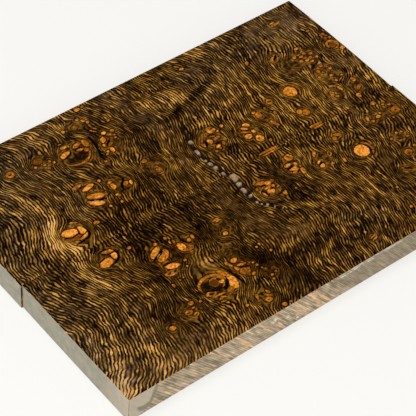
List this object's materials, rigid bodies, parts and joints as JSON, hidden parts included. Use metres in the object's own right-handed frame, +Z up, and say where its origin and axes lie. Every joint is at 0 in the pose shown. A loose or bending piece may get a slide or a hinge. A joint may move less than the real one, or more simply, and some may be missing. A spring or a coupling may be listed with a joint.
{
  "type": "pair of stabilized oak burl knife scales",
  "caption": "Bookmatched flat slabs of resin-stabilized oak burl, laid side by side, sold as handle blanks for a knife.",
  "frame": {"origin": "middle of the pair's underside, on the seam", "axes": "+X along the scales, +Y across the seam to the far scale, +Z up out of the show faces"},
  "size_m": [0.128, 0.0904, 0.0087],
  "materials": {
    "oiled_burl": "satin oiled burl, dark brown with golden lines, sawn grey-beige sides"
  },
  "bodies": {
    "root": {"near_scale": "oiled_burl", "far_scale": "oiled_burl"}
  },
  "joints": []
}
